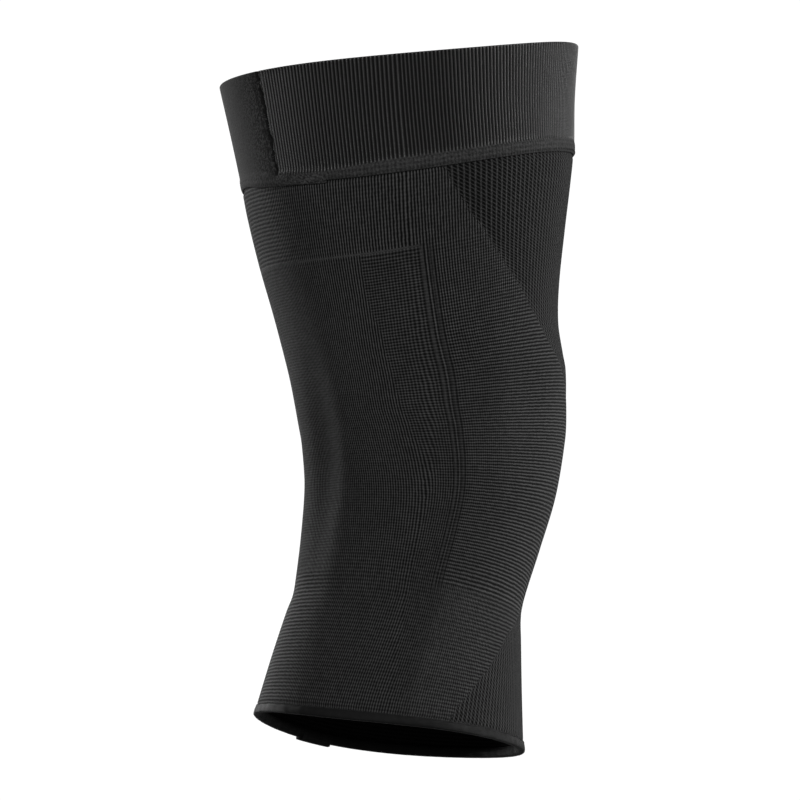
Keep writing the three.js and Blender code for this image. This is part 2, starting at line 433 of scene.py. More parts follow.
@dataclass
class Board:
    """Node tree of one material, with short ways to add to it."""

    name: str

    def __post_init__(self) -> None:
        """Starts the material with its shader wired to the output."""
        self.material = bpy.data.materials.new(self.name)
        self.material.use_nodes = True
        self.tree = self.material.node_tree
        self.tree.nodes.clear()
        self.shader = self.tree.nodes.new("ShaderNodeBsdfPrincipled")
        output = self.tree.nodes.new("ShaderNodeOutputMaterial")
        self.tree.links.new(self.shader.outputs["BSDF"], output.inputs["Surface"])

    def feed(self, socket: Socket, value: Term) -> None:
        """Links a socket, or sets its own value.

        Args:
            socket: the input.
            value: a socket or a number.
        """
        if isinstance(value, bpy.types.NodeSocket):
            self.tree.links.new(value, socket)
        else:
            socket.default_value = value

    def math(self, operation: str, a: Term, b: Term = 0.0, c: Term = 0.0) -> Socket:
        """Adds a Math node.

        Args:
            operation: its operation.
            a: first input.
            b: second input.
            c: third input.

        Returns:
            Its result.
        """
        node = self.tree.nodes.new("ShaderNodeMath")
        node.operation = operation
        for socket, value in zip(node.inputs, (a, b, c)):
            self.feed(socket, value)
        return node.outputs[0]

    def add(self, *terms: Term) -> Socket:
        """Sum of several terms.

        Args:
            terms: sockets or numbers.

        Returns:
            The sum.
        """
        total = terms[0]
        for term in terms[1:]:
            total = self.math("ADD", total, term)
        return total

    def times(self, *terms: Term) -> Socket:
        """Product of several terms.

        Args:
            terms: sockets or numbers.

        Returns:
            The product.
        """
        total = terms[0]
        for term in terms[1:]:
            total = self.math("MULTIPLY", total, term)
        return total

    def less(self, a: Term, b: Term) -> Socket:
        """Difference of two terms."""
        return self.math("SUBTRACT", a, b)

    def invert(self, a: Term) -> Socket:
        """One less a term."""
        return self.math("SUBTRACT", 1.0, a)

    def size(self, a: Term) -> Socket:
        """A term without its sign."""
        return self.math("ABSOLUTE", a)

    def most(self, a: Term, b: Term) -> Socket:
        """The larger of two terms."""
        return self.math("MAXIMUM", a, b)

    def under(self, a: Term, b: Term) -> Socket:
        """1 where a is less than b, and 0 elsewhere."""
        return self.math("LESS_THAN", a, b)

    def power(self, a: Term, exponent: float) -> Socket:
        """A term raised to a power, with what is below 0 taken as 0."""
        return self.math("POWER", self.most(a, 0.0), exponent)

    def wave(self, count: Term, sharp: float = 1.0) -> Socket:
        """Ridge of 1 at each whole count, and 0 half way between; a higher sharp makes it narrower."""
        ridge = self.math("MULTIPLY_ADD", self.math("COSINE", self.times(count, math.tau)), 0.5, 0.5)
        return ridge if sharp == 1.0 else self.math("POWER", ridge, sharp)

    def span(
        self, value: Term, start: Term, end: Term, low: float = 0.0, high: float = 1.0, smooth: bool = True
    ) -> Socket:
        """Adds a Map Range node.

        Args:
            value: what is mapped.
            start: where the result is low.
            end: where the result is high.
            low: the low result.
            high: the high result.
            smooth: whether the ramp eases in and out.

        Returns:
            The mapped value.
        """
        node = self.tree.nodes.new("ShaderNodeMapRange")
        node.interpolation_type = "SMOOTHSTEP" if smooth else "LINEAR"
        for socket, given in zip(node.inputs, (value, start, end, low, high)):
            self.feed(socket, given)
        return node.outputs[0]

    def blend(self, share: Term, a: Term, b: Term) -> Socket:
        """Value between a and b, by share.

        Args:
            share: 0 for a, 1 for b.
            a: one value.
            b: the other.

        Returns:
            The value between.
        """
        node = self.tree.nodes.new("ShaderNodeMix")
        node.data_type = "FLOAT"
        for socket, given in zip((node.inputs[0], node.inputs[2], node.inputs[3]), (share, a, b)):
            self.feed(socket, given)
        return node.outputs[0]

    def table(self, value: Term, points: Sequence[tuple[float, float]]) -> Socket:
        """Adds a Float Curve node with straight stretches.

        Args:
            value: from 0 to 1.
            points: (input, output) pairs, both from 0 to 1.

        Returns:
            The value on the curve.
        """
        node = self.tree.nodes.new("ShaderNodeFloatCurve")
        line = node.mapping.curves[0]
        line.points[0].location, line.points[1].location = points[0], points[-1]
        for point in points[1:-1]:
            line.points.new(*point)
        for point in line.points:
            point.handle_type = "VECTOR"
        node.mapping.update()
        self.feed(node.inputs["Value"], value)
        return node.outputs[0]

    def uv(self, name: str) -> tuple[Socket, Socket]:
        """The two coordinates of a UV map.

        Args:
            name: the map.

        Returns:
            U and V.
        """
        node = self.tree.nodes.new("ShaderNodeUVMap")
        node.uv_map = name
        parts = self.tree.nodes.new("ShaderNodeSeparateXYZ")
        self.tree.links.new(node.outputs[0], parts.inputs[0])
        return parts.outputs[0], parts.outputs[1]

    def pair(self, a: Term, b: Term) -> Socket:
        """Vector of two coordinates.

        Args:
            a: first coordinate.
            b: second coordinate.

        Returns:
            The vector.
        """
        node = self.tree.nodes.new("ShaderNodeCombineXYZ")
        self.feed(node.inputs[0], a)
        self.feed(node.inputs[1], b)
        return node.outputs[0]

    def place(self) -> Socket:
        """Object coordinates, in metres."""
        return self.tree.nodes.new("ShaderNodeTexCoord").outputs["Object"]

    def noise(
        self, scale: float, detail: float = 2.0, at: Socket | None = None, rough: float = 0.5
    ) -> Socket:
        """Adds a Noise Texture.

        Args:
            scale: features for each unit of the coordinates.
            detail: how many finer layers it has.
            at: its coordinates; the object's own where none are given.
            rough: strength of the finer layers.

        Returns:
            Its value, about 0.5.
        """
        node = self.tree.nodes.new("ShaderNodeTexNoise")
        self.tree.links.new(at or self.place(), node.inputs["Vector"])
        node.inputs["Scale"].default_value = scale
        node.inputs["Detail"].default_value = detail
        node.inputs["Roughness"].default_value = rough
        return node.outputs[0]

    def grain(self, scale: float) -> Socket:
        """Noise of the object's coordinates, about 0."""
        return self.less(self.noise(scale), 0.5)

    def speckle(self, a: Socket, b: Socket) -> Socket:
        """Random value of each whole cell of two counts.

        Args:
            a: one count.
            b: the other.

        Returns:
            The value, from 0 to 1.
        """
        node = self.tree.nodes.new("ShaderNodeTexWhiteNoise")
        node.noise_dimensions = "2D"
        self.tree.links.new(self.pair(self.math("FLOOR", a), self.math("FLOOR", b)), node.inputs["Vector"])
        return node.outputs[0]

    def roughness(self, value: Socket) -> None:
        """Feeds the shader's roughness."""
        self.feed(self.shader.inputs["Roughness"], value)

    def tone(self, value: Socket, dark: float, light: float) -> None:
        """Sets the base colour between two greys.

        Args:
            value: the share of the light one, from 0 to 1.
            dark: the dark one.
            light: the light one.
        """
        node = self.tree.nodes.new("ShaderNodeMix")
        node.data_type = "RGBA"
        node.clamp_factor = False
        self.feed(node.inputs[0], value)
        node.inputs[6].default_value = (dark, dark, dark, 1)
        node.inputs[7].default_value = (light, light, light, 1)
        self.tree.links.new(node.outputs[2], self.shader.inputs["Base Color"])

    def bump(self, height: Socket, distance: float, below: Socket | None = None) -> Socket:
        """Adds a Bump node.

        Args:
            height: relief, from 0 to about 1.
            distance: how high a relief of 1 stands, in metres.
            below: normal that it is added to.

        Returns:
            The normal.
        """
        node = self.tree.nodes.new("ShaderNodeBump")
        node.inputs["Distance"].default_value = distance
        self.tree.links.new(height, node.inputs["Height"])
        if below is not None:
            self.tree.links.new(below, node.inputs["Normal"])
        return node.outputs[0]

    def finish(self, normal: Socket, **values: float | Sequence[float]) -> bpy.types.Material:
        """Sets the shader's plain sockets and its normal.

        Args:
            normal: the bumped normal.
            values: socket names with underscores for spaces, and their values.

        Returns:
            The material.
        """
        self.tree.links.new(normal, self.shader.inputs["Normal"])
        for name, value in values.items():
            self.shader.inputs[name.replace("_", " ").title().replace("Ior", "IOR")].default_value = value
        return self.material


def knit_counts(board: Board) -> tuple[Socket, Socket]:
    """Wale from the kneecap and course from the calf, out of the knit's UV map."""
    u, v = board.uv("knit")
    return board.times(board.less(u, 0.5), float(UV_WALES)), board.times(v, float(UV_COURSES))


@dataclass(frozen=True)
class Zones:
    """A point's counts, and its share of each zone of the knit, from 0 to 1."""

    straight: Socket
    wale: Socket
    course: Socket
    side: Socket
    top: Socket
    middle: Socket
    low: Socket
    front: Socket
    panel: Socket
    mesh: Socket
    shin: Socket
    back: Socket
    ahead: Socket


@dataclass(frozen=True)
class Fade:
    """A soft change of a value between two places, such as two wales, two courses or two turns."""

    start: float
    end: float
    low: float = 0.0
    high: float = 1.0

    def at(self, b: Board, place: Socket) -> Socket:
        """Its value at a place."""
        return b.span(place, self.start, self.end, self.low, self.high)


@dataclass(frozen=True)
class KnitFinish:
    """Fine black knit of the tube, whose stitch changes from zone to zone.

    Wales and courses each have a strength: 1 is their full relief, and 0 leaves them out.
    """

    dark: float = 0.0016
    light: float = 0.094
    contrast: float = 1.7
    relief: float = 0.30 * MM
    fuzz_relief: float = 0.10 * MM
    wale_wander: float = 0.34
    course_wander: float = 0.36
    top_course: float = 151.5
    low_course: float = 39.5
    panel_wales: float = 0.46
    panel_courses: float = 0.52
    level_height: float = 0.45
    taut_share: float = 0.14
    taut_height: float = 0.60
    line_share: float = 0.45
    tight_height: float = 0.72
    plain_tone: float = 0.86
    # share of painted light added along the lit edge at the back of the knee
    painted_back_light_tone: float = 0.3
    mesh_tone: float = 0.56
    shin_shade: float = 0.42
    # changes across the wales: to the back, to the front, beside the kneecap, and of the two patches of
    # painted light
    to_back: Fade = Fade(118.0, 150.0)
    to_front: Fade = Fade(78.0, 34.0)
    beside: Fade = Fade(52.0, 80.0)
    painted_kneecap_light_side: Fade = Fade(81.0, 74.0)
    painted_back_light_side: Fade = Fade(138.0, 168.0)
    # changes up the courses: of the panel, the thigh, the taut kneecap and the two patches of painted light
    panel_start: Fade = Fade(58.0, 84.0)
    up_thigh: Fade = Fade(100.0, 148.0)
    up_back: Fade = Fade(90.0, 120.0)
    taut_top: Fade = Fade(132.0, 96.0)
    painted_kneecap_light_top: Fade = Fade(110.0, 88.0, 0.0, 0.24)
    painted_back_light_foot: Fade = Fade(40.0, 66.0)
    painted_back_light_top: Fade = Fade(120.0, 88.0)
    # strength of the wales at the kneecap, and what the thigh and the kneecap's side add
    front_wales: tuple[float, float, float] = (0.14, 0.60, 0.24)
    side_wales: Fade = Fade(60.0, 140.0, 0.66, 0.96)
    # strength of the wales at the calf, and what its back and its front take off
    low_wales: tuple[float, float, float] = (0.62, 0.34, 0.28)
    front_courses: Fade = Fade(150.0, 112.0, 0.26, 0.74)
    side_courses: Fade = Fade(140.0, 60.0, 0.12, 0.28)
    # what the front adds over the kneecap, and the back above the hollow of the knee
    front_more: float = 0.22
    back_more: float = 0.14
    # strength of the courses at the calf, and what its back and its front add
    low_courses: tuple[float, float, float] = (0.26, 0.50, 0.56)
    # strength of the courses under the cuff, and what the back adds
    top_courses: tuple[float, float] = (0.14, 0.62)
    # the open mesh: how sharp its uprights and bridges are, their height, and its swell at each course
    upright_sharp: float = 2.4
    bridge_sharp: float = 2.0
    mesh_height: float = 0.74
    mesh_swell: float = 0.38
    # the raised line, in ridges: its height, its dips, and where it starts, sinks and ends
    ridge_sharp: float = 3.0
    line_height: float = 0.34
    line_dip: float = 0.30
    line_start: Fade = Fade(-0.62, -0.5)
    line_crest: Fade = Fade(0.4, 2.6, 0.85, 0.40)
    line_end: Fade = Fade(3.1, 2.7)
    tight_width: Fade = Fade(0.5, 0.1)
    # how much single stitches, wide patches and the fuzz change the shade, and stitches the height
    stitch_tone: float = 0.24
    patch_tone: float = 0.2
    fuzz_tone: float = 0.27
    stitch_height: float = 0.12
    # features in a metre
    patch_scale: float = 34.0
    fuzz_scale: float = 2600.0
    # course and half-width in wales of the open mesh over the thigh
    mesh_edge: tuple[tuple[float, float], ...] = (
        (0, 0), (95, 0), (103, 9), (112, 20.9), (121.5, 31.2), (130.8, 41.6),
        (137.4, 48), (149.7, 56.9), (161, 66.8), (170, 72.4), (200, 91),
    )
    # course and half-width in wales of the open mesh over the shin
    shin_edge: tuple[tuple[float, float], ...] = (
        (0, 64.5), (4.4, 60.4), (15.8, 49.9), (31.8, 30.8), (38.8, 12.4), (42, 0), (200, 0),
    )
    # course and outer wale of the pique panel beside the kneecap
    panel_edge: tuple[tuple[float, float], ...] = (
        (0, 81.5), (56, 81.5), (70, 88), (82, 91.9), (92, 93.1),
        (108.7, 95), (124.5, 96.2), (137, 99.8), (149.5, 100.4), (200, 101),
    )

    def edge(self, b: Board, course: Socket, rows: Sequence[tuple[float, float]]) -> Socket:
        """Wale of a zone's edge at each course."""
        points = [(c / UV_COURSES, w / UV_COURSES) for c, w in rows]
        return b.times(b.table(b.times(course, 1 / UV_COURSES), points), float(UV_COURSES))

    def zones(self, b: Board) -> Zones:
        """Works out where on the tube a point lies.

        Args:
            b: the material's board.

        Returns:
            Its counts and its share of each zone.
        """
        straight, course = knit_counts(b)
        wale = b.add(straight, b.times(b.grain(420.0), self.wale_wander))
        course = b.add(course, b.times(b.grain(380.0), self.course_wander))
        side = b.size(wale)
        cell_wale, cell_course = (b.add(b.math("FLOOR", count), 0.5) for count in (side, course))
        mesh, shin, panel = (
            b.under(cell_wale, self.edge(b, cell_course, rows))
            for rows in (self.mesh_edge, self.shin_edge, self.panel_edge)
        )
        top = b.span(course, self.top_course - 0.4, self.top_course + 0.4)
        low = b.span(course, self.low_course + 0.4, self.low_course - 0.4)
        front = b.span(side, SEAM_WALE + 0.6, SEAM_WALE - 0.6)
        return Zones(
            straight=b.size(straight),
            wale=wale,
            course=course,
            side=side,
            top=top,
            middle=b.invert(b.add(top, low)),
            low=low,
            front=front,
            panel=b.times(b.invert(front), panel, self.panel_start.at(b, course), b.invert(top)),
            mesh=mesh,
            shin=shin,
            back=self.to_back.at(b, side),
            ahead=self.to_front.at(b, side),
        )

    def wales(self, b: Board, z: Zones) -> Socket:
        """Sets the strength of the upright wales in each zone.

        Args:
            b: the material's board.
            z: where the point lies.

        Returns:
            The strength there.
        """
        least, thigh, beside = self.front_wales
        up, across = self.up_thigh.at(b, z.course), self.beside.at(b, z.side)
        front = b.add(least, b.times(up, thigh), b.times(across, beside))
        side = self.side_wales.at(b, z.course)
        calf, back, ahead = self.low_wales
        low = b.less(b.less(calf, b.times(z.back, back)), b.times(z.ahead, ahead))
        strength = b.add(z.top, b.times(z.middle, b.blend(z.front, side, front)), b.times(z.low, low))
        return b.blend(z.panel, strength, self.panel_wales)

    def courses(self, b: Board, z: Zones) -> Socket:
        """Sets the strength of the level courses in each zone.

        Args:
            b: the material's board.
            z: where the point lies.

        Returns:
            The strength there.
        """
        front = b.add(self.front_courses.at(b, z.course), b.times(z.ahead, self.front_more))
        behind = b.times(z.back, self.up_back.at(b, z.course), self.back_more)
        side = b.add(self.side_courses.at(b, z.course), behind)
        calf, back, ahead = self.low_courses
        low = b.add(calf, b.times(z.back, back), b.times(z.ahead, ahead))
        plain, more = self.top_courses
        top = b.times(z.top, b.add(plain, b.times(z.back, more)))
        strength = b.add(top, b.times(z.middle, b.blend(z.front, side, front)), b.times(z.low, low))
        return b.blend(z.panel, strength, self.panel_courses)

    def knit(self, b: Board, z: Zones) -> Socket:
        """Shapes the close knit, the mesh and the shin's knit.

        Args:
            b: the material's board.
            z: where the point lies.

        Returns:
            Height of the knit's surface.
        """
        wales, courses = self.wales(b, z), self.courses(b, z)
        level = b.times(b.invert(b.add(wales, courses)), self.level_height)
        close = b.add(b.times(wales, b.wave(z.wale)), b.times(courses, b.wave(z.course)), level)
        # the mesh has every other wale upright, and slanting bridges between
        swell = b.add(self.mesh_height, b.times(b.wave(z.course), self.mesh_swell))
        upright = b.times(b.wave(b.times(z.wale, 0.5), self.upright_sharp), swell)
        bridge = b.wave(b.less(z.course, b.times(z.side, 0.5)), self.bridge_sharp)
        mesh = b.most(upright, b.times(bridge, self.mesh_height))
        shin = b.add(b.times(mesh, 0.95), 0.02)
        height = b.blend(z.mesh, b.blend(z.shin, close, shin), mesh)
        # the stretched knit over the kneecap and the shin lies flatter
        kneecap = b.times(z.front, self.taut_top.at(b, z.course), b.invert(z.mesh))
        taut = b.most(kneecap, b.times(z.low, z.ahead))
        return b.blend(b.times(taut, self.taut_share), height, self.taut_height)

    def raised(self, b: Board, z: Zones, height: Socket) -> Socket:
        """Lays the raised line and the one tight course above the side's knit over the rest.

        Args:
            b: the material's board.
            z: where the point lies.
            height: height of the knit without them.

        Returns:
            Height with them.
        """
        steps = b.times(b.less(SEAM_WALE, z.straight), 1 / RIDGE_PITCH)
        crest = b.times(b.wave(steps, self.ridge_sharp), self.line_crest.at(b, steps))
        dip = b.times(b.wave(b.add(steps, 0.5), self.ridge_sharp), self.line_dip)
        line = b.less(b.add(self.line_height, crest), dip)
        across = b.times(self.line_start.at(b, steps), self.line_end.at(b, steps))
        along = b.times(b.span(z.course, *RIDGE_FOOT), b.span(z.course, *RIDGE_HEAD))
        height = b.blend(b.times(across, along, self.line_share), height, line)
        near = self.tight_width.at(b, b.size(b.less(z.course, self.top_course)))
        return b.most(height, b.times(near, b.invert(z.front), self.tight_height))

    def shade(self, b: Board, z: Zones, surface: Socket, stitch: Socket) -> Socket:
        """Works out how light the knit is, with painted shade in its valleys and painted light on two
        patches.

        Args:
            b: the material's board.
            z: where the point lies.
            surface: height of the knit with its fuzz.
            stitch: random value of each stitch, about 0.

        Returns:
            The shade, from 0 to 1.
        """
        patch = b.times(b.grain(self.patch_scale), self.patch_tone)
        uneven = b.add(1.0, b.times(stitch, self.stitch_tone), patch)
        # painted shade: the colour follows the knit's height, darkest in the valleys between wales and
        # courses and lightest on their crests
        shade = b.power(b.times(surface, uneven), self.contrast)
        # painted light: the knit over the kneecap is lighter where the key light falls on it, and the back
        # of the knee is lighter along its lit edge
        kneecap = b.times(z.front, self.painted_kneecap_light_top.at(b, z.course), self.painted_kneecap_light_side.at(b, z.side))
        hollow = b.times(self.painted_back_light_foot.at(b, z.course), self.painted_back_light_top.at(b, z.course))
        hollow = b.times(hollow, self.painted_back_light_tone, self.painted_back_light_side.at(b, z.side))
        darker = b.times(b.most(z.shin, b.times(z.low, z.ahead, 0.6)), self.shin_shade)
        tone = b.less(b.add(self.plain_tone, kneecap, hollow), darker)
        return b.times(shade, b.blend(z.mesh, tone, self.mesh_tone))

    def material(self) -> bpy.types.Material:
        """Builds the outside's material.

        Returns:
            The material.
        """
        b = Board("knit_outside")
        z = self.zones(b)
        height = self.raised(b, z, self.knit(b, z))
        stitch = b.less(b.speckle(z.wale, z.course), 0.5)
        fuzz = b.grain(self.fuzz_scale)
        surface = b.add(height, b.times(fuzz, self.fuzz_tone))
        b.tone(self.shade(b, z, surface, stitch), self.dark, self.light)
        b.roughness(b.span(height, 0.0, 1.0, 0.95, 0.74))
        knit = b.bump(b.add(height, b.times(stitch, self.stitch_height)), self.relief)
        normal = b.bump(fuzz, self.fuzz_relief, knit)
        return b.finish(normal, specular_ior_level=0.12, sheen_weight=0.06, sheen_roughness=0.35)


@dataclass(frozen=True)
class LiningFinish:
    """Inside of the knit, where the floats of the yarn lie flat."""

    dark: float = 0.0012
    light: float = 0.012
    relief: float = 0.26 * MM
    fuzz_relief: float = 0.08 * MM

    def material(self) -> bpy.types.Material:
        """Builds the inside's material.

        Returns:
            The material.
        """
        b = Board("knit_inside")
        wale, course = knit_counts(b)
        slant = b.wave(b.add(wale, b.times(course, 0.5)))
        height = b.add(b.times(b.wave(course), 0.6), b.times(slant, 0.4))
        fuzz = b.grain(2200.0)
        # painted shade: the colour follows the knit's height, darker where it lies lower
        b.tone(b.add(height, b.times(fuzz, 0.3)), self.dark, self.light)
        b.roughness(b.span(height, 0.0, 1.0, 0.96, 0.84))
        normal = b.bump(fuzz, self.fuzz_relief, b.bump(height, self.relief))
        return b.finish(normal, specular_ior_level=0.08)


@dataclass(frozen=True)
class BandPlan:
    """Where the cuff's plain stretch, its lap and its flat foot lie, in turns and heights."""

    plain_start: float = 170.0
    plain_end: float = 219.0
    lap_end: float = 242.4
    # turn by which the joining seam's foot lies beyond its top
    slant: float = 1.9
    foot: float = 5.0 * MM
    low_foot: float = 3.3 * MM
    # turns between which the foot grows from low to full
    foot_turns: tuple[float, float] = (240.0, 268.0)


@dataclass(frozen=True)
class CuffFinish:
    """Elastic band of fine ribs, with a plain stretch behind its joining seam and a flat foot."""

    plan: BandPlan = BandPlan()
    dark: float = 0.0010
    light: float = 0.046
    contrast: float = 1.5
    relief: float = 0.22 * MM
    fuzz_relief: float = 0.10 * MM
    # millimetres from one rung of a rib, fleck of the plain cloth and tick of the foot to the next
    rung: float = 0.62
    fleck: float = 1.1
    tick: float = 1.9
    plain_height: float = 0.62
    fleck_height: float = 0.04
    # heights on the foot: of its ribs, its ticks and its stipple, and of the cloth under them
    foot_heights: tuple[float, float, float, float] = (0.30, 0.22, 0.55, 0.54)
    lap_height: float = 0.26
    # degrees before the joining seam at which the stipple starts and is full, and its strength there
    stippled: Fade = Fade(17.0, 2.0, 0.25, 1.1)
    # the joint's two dark lines: how far they stray, where they lie and how wide they are, in degrees
    stray: float = 4.0
    stray_scale: float = 560.0
    first_line: float = 0.5
    second_line: float = 3.0
    first_width: Fade = Fade(0.40, 0.95)
    second_width: Fade = Fade(0.2, 0.9, 0.25, 1.0)
    # how much single stitches, the fuzz and wide patches change the shade
    stitch_tone: float = 0.10
    fuzz_tone: float = 0.20
    patch_tone: float = 0.14
    # features in a metre
    stipple_scale: float = 1050.0
    patch_scale: float = 40.0
    fuzz_scale: float = 2600.0

    def plain(self, b: Board, turn: Socket, rise: Socket, above: Socket, groove: Socket) -> Socket:
        """Shapes the unribbed cloth: stippled next to the seam, and ticked along the foot.

        Args:
            b: the material's board.
            turn: degrees round the leg.
            rise: millimetres above the foot's edge.
            above: 1 above the foot, and 0 on it.
            groove: 1 between the ribs, and 0 on them.

        Returns:
            Height of its surface.
        """
        stipple = b.span(b.noise(self.stipple_scale, rough=0.7), 0.36, 0.64, -0.5, 0.5, smooth=False)
        start, end = (self.plan.plain_end - gap for gap in (self.stippled.start, self.stippled.end))
        near = b.span(turn, start, end, self.stippled.low, self.stippled.high)
        fleck, tick = (b.wave(b.times(rise, 1 / pitch)) for pitch in (self.fleck, self.tick))
        pebble = b.add(self.plain_height, b.times(stipple, near), b.times(fleck, self.fleck_height))
        rib_height, tick_height, stipple_height, cloth = self.foot_heights
        ticks, specks = b.times(tick, tick_height), b.times(stipple, stipple_height)
        ticked = b.add(b.times(groove, rib_height), ticks, specks, cloth)
        lap = b.times(b.under(self.plan.plain_end, turn), b.under(turn, self.plan.lap_end))
        return b.blend(above, b.blend(lap, ticked, b.add(pebble, self.lap_height)), pebble)

    def joint(self, b: Board, beyond: Socket) -> Socket:
        """Draws the two ragged dark lines where the band's ends are joined.

        Args:
            b: the material's board.
            beyond: degrees past the joining seam.

        Returns:
            A factor for the shade, which falls in the lines.
        """
        stray = b.times(b.grain(self.stray_scale), self.stray)
        first = self.first_width.at(b, b.size(b.add(beyond, stray, self.first_line)))
        second = self.second_width.at(b, b.size(b.add(beyond, b.times(stray, 1.4), self.second_line)))
        return b.times(b.span(first, 0.0, 1.0, 0.06, 1.0), second)

    def material(self) -> bpy.types.Material:
        """Builds the material.

        Returns:
            The material.
        """
        b, plan = Board("cuff_rib"), self.plan
        u, v = b.uv("band")
        turn, rise = b.times(u, 360.0), b.times(v, CUFF_HEIGHT / MM)
        seam = b.span(v, 0.0, 1.0, plan.plain_end + plan.slant, plan.plain_end, smooth=False)
        foot = b.span(turn, *plan.foot_turns, plan.low_foot / CUFF_HEIGHT, plan.foot / CUFF_HEIGHT)
        above = b.span(v, b.times(foot, 0.92), b.times(foot, 1.25))
        behind = b.span(turn, plan.plain_start + 1, plan.plain_start - 1)
        ribbed = b.times(b.add(behind, b.under(seam, turn)), above)
        groove = b.wave(b.times(u, float(RIBS)))
        rungs = b.times(rise, 1 / self.rung)
        ladder = b.wave(rungs)
        plain = self.plain(b, turn, rise, above, groove)
        height = b.blend(ribbed, plain, b.add(b.times(b.invert(groove), 0.94), b.times(ladder, 0.06)))
        stitch = b.less(b.speckle(b.times(u, float(RIBS) * 2), rungs), 0.5)
        fuzz = b.grain(self.fuzz_scale)
        patch = b.times(b.grain(self.patch_scale), self.patch_tone)
        # painted shade: the colour follows the cloth's height, darkest in the grooves between the ribs and
        # in the low parts of the plain cloth
        shade = b.add(height, b.times(stitch, self.stitch_tone), b.times(fuzz, self.fuzz_tone), patch)
        shade = b.times(shade, b.blend(above, 1.0, self.joint(b, b.less(turn, seam))))
        b.tone(b.power(shade, self.contrast), self.dark, self.light)
        b.roughness(b.blend(ribbed, 0.95, b.span(height, 0.1, 0.8, 1.0, 0.30)))
        relief = b.add(b.blend(ribbed, plain, b.times(ladder, 0.12)), b.times(stitch, 0.08))
        combed = b.times(fuzz, b.blend(ribbed, 1.0, 0.25))
        normal = b.bump(combed, self.fuzz_relief, b.bump(relief, self.relief))
        return b.finish(normal, specular_ior_level=0.42)


@dataclass(frozen=True)
class TapeFinish:
    """Smooth binding tape of the calf hem."""

    dark: float = 0.003
    light: float = 0.010
    relief: float = 0.06 * MM
    fuzz_relief: float = 0.05 * MM

    def material(self) -> bpy.types.Material:
        """Builds the material.

        Returns:
            The material.
        """
        b = Board("hem_tape")
        u, v = b.uv("tape")
        twill = b.wave(b.add(b.times(u, 700.0), b.times(v, 22.0)))
        run = b.noise(1.0, at=b.pair(b.times(u, 90.0), b.times(v, 5.0)))
        fuzz = b.grain(2400.0)
        shade = b.add(0.32, b.times(twill, 0.22), b.times(b.less(run, 0.5), 0.8), b.times(fuzz, 0.22))
        b.tone(b.most(shade, 0.0), self.dark, self.light)
        b.roughness(b.span(run, 0.3, 0.7, 0.64, 0.8))
        weave = b.bump(b.add(twill, b.times(run, 1.5)), self.relief)
        normal = b.bump(fuzz, self.fuzz_relief, weave)
        return b.finish(normal, specular_ior_level=0.22, sheen_weight=0.04, sheen_roughness=0.3)


@dataclass(frozen=True)
class ThreadFinish:
    """Twisted sewing thread."""

    name: str
    dark: float = 0.004
    light: float = 0.040
    relief: float = 0.08 * MM

    def material(self) -> bpy.types.Material:
        """Builds the material.

        Returns:
            The material.
        """
        b = Board(self.name)
        twist = b.noise(3800.0, 1.0)
        b.tone(b.span(twist, 0.3, 0.7), self.dark, self.light)
        b.roughness(b.span(twist, 0.3, 0.7, 0.8, 0.6))
        return b.finish(b.bump(twist, self.relief), specular_ior_level=0.25)


def dress(piece: bpy.types.Object, slot: Slot, *materials: bpy.types.Material) -> None:
    """Gives a piece its materials and its body.

    Args:
        piece: the piece.
        slot: its material slot in the record; not used.
        materials: in the order of the mesh's own slots.
    """
    for material in materials:
        piece.data.materials.append(material)
    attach(piece, "root")


